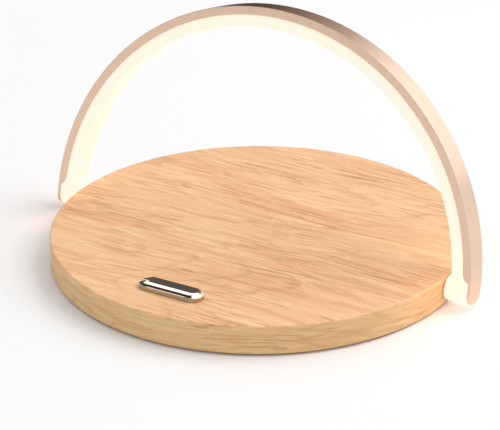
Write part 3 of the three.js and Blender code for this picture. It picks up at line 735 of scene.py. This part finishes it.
def slot_cutter(x, y, half_length, half_width, z0, z1):
    """A straight slot that narrows as it goes up."""
    rings = []
    for share, z in ((1, z0), (0.7, z1)):
        a, b = half_length * share, half_width * share
        rings.append([Vector((x + p * a, y + q * b, z)) for p, q in ((-1, -1), (1, -1), (1, 1), (-1, 1))])
    return lofted("slot", rings)


def add_cover_screws():
    """Pan heads with a cross slot, and threaded shanks that point up. The head's points are in mm."""
    pitch, turns = 0.48 * MM, 11
    root, crest = 1.0 * MM, 1.3 * MM
    thread_start, tip = 1.7 * MM, 0.7 * MM
    slot_reach, slot_half_width, slot_depth = 1.7 * MM, 0.32 * MM, 0.6 * MM
    head = [(0, 0), (1.8, 0), (2.4, 0.12), (2.6, 0.4), (2.6, 1.1), (2.5, 1.2), (1.1, 1.2), (1.05, 1.5)]
    for k in range(1, 5):
        node = f"cover_screw_{k}"
        low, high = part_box(node)
        x, y = middle(node)
        face = low.z
        profile = [(r * MM, face + z * MM) for r, z in head]
        for turn in range(turns):
            z = face + thread_start + turn * pitch
            profile += [(root, z), (crest, z + pitch / 2)]
        profile += [(root, high.z - tip), (0, high.z)]
        screw = turned(f"screw_for_cover_{k}", profile, 40, x, y)
        start, end = face - 0.1 * MM, face + slot_depth
        slots = [slot_cutter(x, y, slot_reach, slot_half_width, start, end)]
        slots.append(slot_cutter(x, y, slot_half_width, slot_reach, start, end))
        add_piece(combine(screw, slots), "base", "screw_steel", node)


# ---------------------------------------------------------------- charging inlet


def add_port_shell():
    """The drawn steel mouth, with a rolled lip."""
    length, height = port_high.x - port_low.x, port_high.z - port_low.z
    rear, mouth = port_low.y, port_high.y
    wall, lip = 0.3 * MM, 0.12 * MM
    roll = 0.3 * lip
    sections = [
        (length - 2 * lip, height - 2 * lip, rear),
        (length, height, rear + lip),
        (length, height, mouth - lip),
        (length - 2 * roll, height - 2 * roll, mouth - roll),
        (length - 2 * lip, height - 2 * lip, mouth),
        (length - 2 * wall + 2 * roll, height - 2 * wall + 2 * roll, mouth - roll),
        (length - 2 * wall, height - 2 * wall, mouth - lip),
        (length - 2 * wall, height - 2 * wall, rear + wall),
    ]
    add_piece(lofted("usb_c_shell", port_rings(sections)), "base", "port_steel", "usb_port_shell")


def add_port_tongue():
    """The insulator: a block at the back, and a thin tongue with an eased tip."""
    low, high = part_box("usb_port_tongue")
    block = (high.x - low.x, high.z - low.z)
    tongue = (6.6 * MM, 0.7 * MM)
    step = low.y + 1.8 * MM
    tip_length, tip_ease = 0.25 * MM, 0.3 * MM
    bare_root, bare_tip = 0.6 * MM, 0.4 * MM
    sections = [(*block, low.y), (*block, step), (*tongue, step), (*tongue, high.y - tip_length)]
    sections.append((tongue[0] - tip_ease, tongue[1] - tip_ease, high.y))
    add_piece(lofted("usb_c_tongue", port_rings(sections)), "base", "chip", "usb_port_tongue")
    add_contacts(tongue[1] / 2, step + bare_root, high.y - bare_tip)


def add_contacts(surface, y0, y1):
    """Thin strips on each face of the tongue, a little sunk into it, with eased upper edges."""
    bm = bmesh.new()
    count, pitch, half_width = 12, 0.5 * MM, 0.13 * MM
    profile = ((0, -0.02 * MM), (0, 0.02 * MM), (0.03 * MM, 0.04 * MM))
    for face in (-1, 1):
        for k in range(count):
            x = (k - (count - 1) / 2) * pitch
            rings = []
            for inset, rise in profile:
                z = PORT_HEIGHT + face * (surface + rise)
                a, b = x - half_width + inset, x + half_width - inset
                corners = ((a, y0 + inset), (b, y0 + inset), (b, y1 - inset), (a, y1 - inset))
                rings.append([Vector((p, q, z)) for p, q in corners])
            skin_rings(bm, rings)
    add_piece(finish_mesh(bm, "usb_c_contacts"), "base", "port_steel", look="contact_gold")


def add_port_bezel():
    """The dark plate round the inlet, with a funnel that guides the plug in."""
    low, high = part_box("port_bezel")
    length, height = high.x - low.x, high.z - low.z
    fit = 0.4 * MM
    hole = (port_high.x - port_low.x + fit, port_high.z - port_low.z + fit)
    edge, funnel = 0.15 * MM, 0.45 * MM
    sections = [
        (length, height, low.y),
        (length, height, high.y - edge),
        (length - 2 * edge, height - 2 * edge, high.y),
        (hole[0] + 2 * funnel, hole[1] + 2 * funnel, high.y),
        (*hole, high.y - funnel),
        (*hole, low.y),
    ]
    add_piece(hooped("inlet_bezel", port_rings(sections)), "base", "cover", "port_bezel")


# ---------------------------------------------------------------- arch


def place_in_arch(x, y, z):
    """A point of the upright arch, measured from its hinge axis, as it leans at rest."""
    cos, sin = math.cos(ARCH_LEAN), math.sin(ARCH_LEAN)
    return Vector((x, y * cos + z * sin, HINGE_HEIGHT - y * sin + z * cos))


def rounded(points, radii, steps):
    """A closed outline with each corner rounded by its own radius."""
    result = []
    count = len(points)
    for k in range(count):
        here = Vector(points[k])
        before = Vector(points[k - 1]) - here
        after = Vector(points[(k + 1) % count]) - here
        reach = min(radii[k], before.length * 0.49, after.length * 0.49)
        start = here + before.normalized() * reach
        end = here + after.normalized() * reach
        for j in range(steps + 1):
            t = j / steps
            result.append(start * (1 - t) ** 2 + here * (2 * t * (1 - t)) + end * t**2)
    return result


def band_section(half_width, flange_radius):
    """(radius, y) outline of the channel, whose flanges stand in from the skin to flange_radius."""
    inner = ARCH_RADIUS - SKIN
    web = max(half_width - SKIN, half_width * 0.3)
    tip = min(flange_radius, inner - SLIVER)
    points = [
        (tip, -half_width),
        (ARCH_RADIUS, -half_width),
        (ARCH_RADIUS, half_width),
        (tip, half_width),
        (tip, web),
        (inner, web),
        (inner, -web),
        (tip, -web),
    ]
    crisp, front, back = 0.15 * MM, 0.12 * MM, 0.3 * MM
    radii = [crisp, front, back, crisp, crisp, 0, 0, crisp]
    return rounded(points, radii, 4)


def flange_at(height):
    """The radius of the flanges' edge: it rounds off to nothing near the ends of the arch."""
    drop = FLANGE_END_HEIGHT - height
    if drop <= 0:
        return FLANGE_RADIUS
    if drop < FLANGE_END_RADIUS:
        return FLANGE_RADIUS + FLANGE_END_RADIUS - math.sqrt(FLANGE_END_RADIUS**2 - drop**2)
    return ARCH_RADIUS


def tab_rings(sign):
    """Sections up the tab, from its rounded tip to the hinge axis."""
    rings = []
    for degrees in (89.6, 86, 80, 72, 63, 54, 45, 36, 27, 18, 9):
        angle = math.radians(degrees)
        section = band_section(ARCH_HALF_DEPTH * math.cos(angle), ARCH_RADIUS)
        drop = ARCH_END_DROP * math.sin(angle)
        rings.append([place_in_arch(sign * r, y, -drop) for r, y in section])
    return rings


def add_arch_band():
    """The channel, swept from the tip of the right tab over the half circle to the tip of the left one."""
    rings = tab_rings(1)
    steps = 240
    for k in range(steps + 1):
        angle = math.pi * k / steps
        section = band_section(ARCH_HALF_DEPTH, flange_at(FLANGE_RADIUS * math.sin(angle)))
        rings.append([place_in_arch(r * math.cos(angle), y, r * math.sin(angle)) for r, y in section])
    rings += reversed(tab_rings(-1))
    add_piece(lofted("arch_channel", rings, 40), "arch", "arch_metal", "arch_band")


def add_diffuser():
    """The milky trough under the channel, with two legs that reach up between the flanges."""
    outer = FLANGE_RADIUS - GLOW_FIT
    side = ARCH_HALF_DEPTH - GLOW_WALL
    leg_thickness, leg_clearance = 1 * MM, 1.1 * MM
    end_clearance, edge, outer_edge = 0.1 * MM, 0.9 * MM, 0.15 * MM
    leg_outer = ARCH_HALF_DEPTH - SKIN - GAP
    leg_inner = leg_outer - leg_thickness
    leg_top = ARCH_RADIUS - SKIN - leg_clearance
    half = [
        (GLOW_RADIUS, ARCH_HALF_DEPTH),
        (outer, ARCH_HALF_DEPTH),
        (outer, leg_outer),
        (leg_top, leg_outer),
        (leg_top, leg_inner),
        (outer - GLOW_WALL, leg_inner),
        (outer - GLOW_WALL, side),
        (GLOW_RADIUS + GLOW_WALL, side),
    ]
    radii = [edge, outer_edge, 0, 0, 0, 0, 0, 0]
    points = half + [(r, -y) for r, y in reversed(half)]
    section = rounded(points, radii + radii[::-1], 5)
    end_height = FLANGE_END_HEIGHT + end_clearance
    rings = [[end_point(r, y, end_height, 1) for r, y in section]]
    first = math.asin(end_height / GLOW_RADIUS) + math.radians(0.6)
    steps = 220
    for k in range(steps + 1):
        angle = first + (math.pi - 2 * first) * k / steps
        rings.append([place_in_arch(r * math.cos(angle), y, r * math.sin(angle)) for r, y in section])
    rings.append([end_point(r, y, end_height, -1) for r, y in section])
    add_piece(lofted("arch_glow", rings, 40), "arch", "glow", "arch_diffuser")


def end_point(radius, y, height, sign):
    """A point of the arch's section where it is cut off level at a height."""
    return place_in_arch(sign * math.sqrt(radius**2 - height**2), y, height)


def hub_top(x):
    """How high the hub reaches at x: a slanted shoulder, a level top, then a hollow round the flange."""
    rise = (FLANGE_END_HEIGHT - HUB_SHOULDER_HEIGHT) / HUB_SHOULDER_RUN
    shoulder = HUB_SHOULDER_HEIGHT + (x - hub_low.x) * rise
    corner = FLANGE_RADIUS + FLANGE_END_RADIUS
    reach = FLANGE_END_RADIUS + GLOW_FIT
    if x > corner - reach:
        hollow = FLANGE_END_HEIGHT - math.sqrt(reach**2 - (corner - x) ** 2)
        return min(hollow, FLANGE_END_HEIGHT)
    return min(shoulder, FLANGE_END_HEIGHT)


def hub_section(x, inset):
    """The hub's outline across the hinge axis: a half ellipse below, straight sides and a level top."""
    half = ARCH_HALF_DEPTH - inset
    drop = ARCH_END_DROP - inset
    top = hub_top(x) - inset
    outline = [(half, top), (-half, top)]
    outline += [(half * y, drop * z) for y, z in arc(0, 0, 1, 180, 360, 40)]
    return outline


def add_hubs():
    """The milky blocks between the tabs and the rim, with an eased inner end."""
    low, high = hub_low.x, hub_high.x
    edge = 0.6 * MM
    spans = 24
    stations = []
    for degrees in (0, 22, 45, 67, 90):
        angle = math.radians(degrees)
        stations.append((low + edge * (1 - math.cos(angle)), edge * (1 - math.sin(angle))))
    for k in range(1, spans + 1):
        stations.append((low + edge + (high - low - edge) * k / spans, 0))
    for side, sign in (("left", -1), ("right", 1)):
        rings = []
        for x, inset in stations:
            rings.append([place_in_arch(sign * x, y, z) for y, z in hub_section(x, inset)])
        add_piece(lofted(f"glow_hub_{side}", rings, 40), "arch", "glow", f"hub_{side}", look="hub")


def add_bushes():
    """Flanged sleeves in the rim's bores, round the hinge shafts."""
    bore, sleeve, flange = 2.2 * MM, 3.1 * MM, bush_high.z - HINGE_HEIGHT
    inner, outer = bush_low.x, bush_high.x
    edge, back_edge = 0.2 * MM, 0.15 * MM
    profile = [
        (bore, inner),
        (sleeve, inner),
        (sleeve, BASE_RADIUS),
        (flange - edge, BASE_RADIUS),
        (flange, BASE_RADIUS + back_edge),
        (flange, outer - edge),
        (flange - edge, outer),
        (bore, outer),
    ]
    for side, sign in (("left", -1), ("right", 1)):
        rings = []
        for radius, x in profile:
            ring = circle(radius, 0, 48)
            rings.append([Vector((sign * x, p.x, p.y + HINGE_HEIGHT)) for p in ring])
        add_piece(hooped(f"bush_{side}", rings), "base", "bush_plastic", f"hinge_bush_{side}")


add_wood_shell()
add_touch_bar()
add_feet()
add_bottom_cover()
add_cover_screws()
add_port_shell()
add_port_tongue()
add_port_bezel()
add_arch_band()
add_diffuser()
add_hubs()
add_bushes()

# ---------------------------------------------------------------- floor, lights and camera


def add_floor():
    """A pale disc that melts into the background towards its edge."""
    bm = bmesh.new()
    bmesh.ops.create_circle(bm, cap_ends=True, segments=128, radius=FLOOR_RADIUS)
    floor = finish_mesh(bm, "floor")
    shader = Shader("floor", 0.9)
    cloud = shader.noise(shader.place((3, 3, 3)), detail=2)
    pale = shader.ramp(cloud, [(0.3, (0.888, 0.882, 0.878)), (0.7, (0.898, 0.892, 0.888))])
    away = shader.rise(shader.length(shader.place((1, 1, 0))), FLOOR_FADE_START, FLOOR_FADE_END)
    shader.feed("Base Color", shader.mix(away, pale, (0, 0, 0)))
    shader.feed("Emission Color", shader.mix(away, (0, 0, 0), (BACKDROP,) * 3))
    shader.set("Emission Strength", 1.0)
    shader.set("Specular IOR Level", 0.0)
    floor.data.materials.append(shader.material)


def add_window(power, size, distance, azimuth, elevation):
    """A broad round soft light, placed by its distance, azimuth (0 is behind, along +Y) and elevation."""
    data = bpy.data.lights.new("soft_window", "AREA")
    data.energy = power
    data.shape = "DISK"
    data.size = size
    light = bpy.data.objects.new("soft_window", data)
    turn, tilt = math.radians(azimuth), math.radians(elevation)
    towards = Vector((math.sin(turn) * math.cos(tilt), math.cos(turn) * math.cos(tilt), math.sin(tilt)))
    light.location = towards * distance
    light.rotation_mode = "QUATERNION"
    light.rotation_quaternion = towards.to_track_quat("Z", "Y")
    bpy.context.scene.collection.objects.link(light)


class World(Nodes):
    """The room's light: even on matt surfaces, and in mirrors a pale room with dark panels."""

    def __init__(self):
        world = bpy.data.worlds.new("studio")
        bpy.context.scene.world = world
        world.use_nodes = True
        self.tree = world.node_tree
        self.tree.nodes.clear()

    def product(self, *factors):
        result = factors[0]
        for factor in factors[1:]:
            result = self.node("ShaderNodeMath", {0: result, 1: factor}, operation="MULTIPLY").outputs[0]
        return result

    def blend(self, factor, a, b):
        return self.node("ShaderNodeMixShader", {"Fac": factor, 1: a, 2: b}).outputs[0]

    def light(self, colour, strength):
        made = self.node("ShaderNodeBackground", {"Color": (*colour, 1), "Strength": strength})
        return made.outputs[0]


def set_world():
    """The studio's light. Directions run from -1 to 1: x to the right, y to the back and z up."""
    world = World()
    direction = world.node("ShaderNodeTexCoord").outputs["Generated"]
    x, y, z = world.node("ShaderNodeSeparateXYZ", {0: direction}).outputs
    slant = world.node("ShaderNodeMath", {0: z, 1: -0.55, 2: x}, operation="MULTIPLY_ADD").outputs[0]
    to_left = world.rise(slant, -0.03, -0.56)
    to_back = world.rise(y, 0.1, 0.4)
    back_panel = world.product(to_left, to_back, world.rise(z, 0.6, 0.57))
    deep_panel = world.product(back_panel, world.rise(slant, -0.58, -0.66))
    horizon = world.product(back_panel, world.rise(z, 0.07, -0.03))
    front_left = world.product(world.rise(x, -0.08, -0.28), world.rise(y, 0.42, 0.28))
    front_panel = world.product(front_left, world.rise(z, 0.0, 0.1))
    below, above = world.light(WHITE, 0.95), world.light(WHITE, 1.42)
    mirrored = world.blend(world.rise(z, -0.01, 0.02), below, above)
    panels = (
        (back_panel, BROWN_PANEL),
        (deep_panel, DEEP_PANEL),
        (horizon, HORIZON_PANEL),
        (front_panel, FRONT_PANEL),
    )
    for panel, colour in panels:
        mirrored = world.blend(panel, mirrored, world.light(colour, 1.0))
    path = world.node("ShaderNodeLightPath")
    lit = world.blend(path.outputs["Is Glossy Ray"], world.light(DAYLIGHT, 0.765), mirrored)
    seen = world.blend(path.outputs["Is Camera Ray"], lit, world.light(WHITE, BACKDROP))
    world.node("ShaderNodeOutputWorld", {"Surface": seen})


def add_camera():
    """The camera stands to the front right, above the base, with a long lens."""
    azimuth, elevation, roll = math.radians(30.29), math.radians(25.14), math.radians(-0.23)
    distance = 0.8226
    target = Vector((-0.0091, 0.0085, WOOD_TOP))
    back = Vector((
        math.sin(azimuth) * math.cos(elevation),
        -math.cos(azimuth) * math.cos(elevation),
        math.sin(elevation),
    ))
    right = Vector((math.cos(azimuth), math.sin(azimuth), 0))
    up = back.cross(right)
    turned_right = math.cos(roll) * right + math.sin(roll) * up
    turned_up = -math.sin(roll) * right + math.cos(roll) * up
    data = bpy.data.cameras.new("camera")
    data.sensor_width = 36
    data.lens = 141.6
    data.clip_start, data.clip_end = 0.01, 50
    camera = bpy.data.objects.new("camera", data)
    rotation = Matrix((turned_right, turned_up, back)).transposed()
    camera.matrix_world = Matrix.Translation(target + back * distance) @ rotation.to_4x4()
    bpy.context.scene.collection.objects.link(camera)
    bpy.context.scene.camera = camera


def add_hub_glow():
    """The warm light that spills from each hub over the wood and the floor beside it."""
    out, aside, up = 94 * MM, 14 * MM, 19 * MM
    for side, energy in ((-1, 0.0022), (1, 0.0062)):
        for end in (-1, 1):
            data = bpy.data.lights.new("hub_glow", "POINT")
            data.energy = energy
            data.color = SPILL
            data.shadow_soft_size = 5 * MM
            light = bpy.data.objects.new("hub_glow", data)
            light.location = (side * out, end * aside, up)
            light.visible_camera = False
            light.visible_glossy = False
            bpy.context.scene.collection.objects.link(light)


add_floor()
set_world()
add_hub_glow()
add_window(power=27, size=1.9, distance=2.2, azimuth=58, elevation=48)
add_camera()
bpy.context.scene.view_settings.view_transform = "Standard"
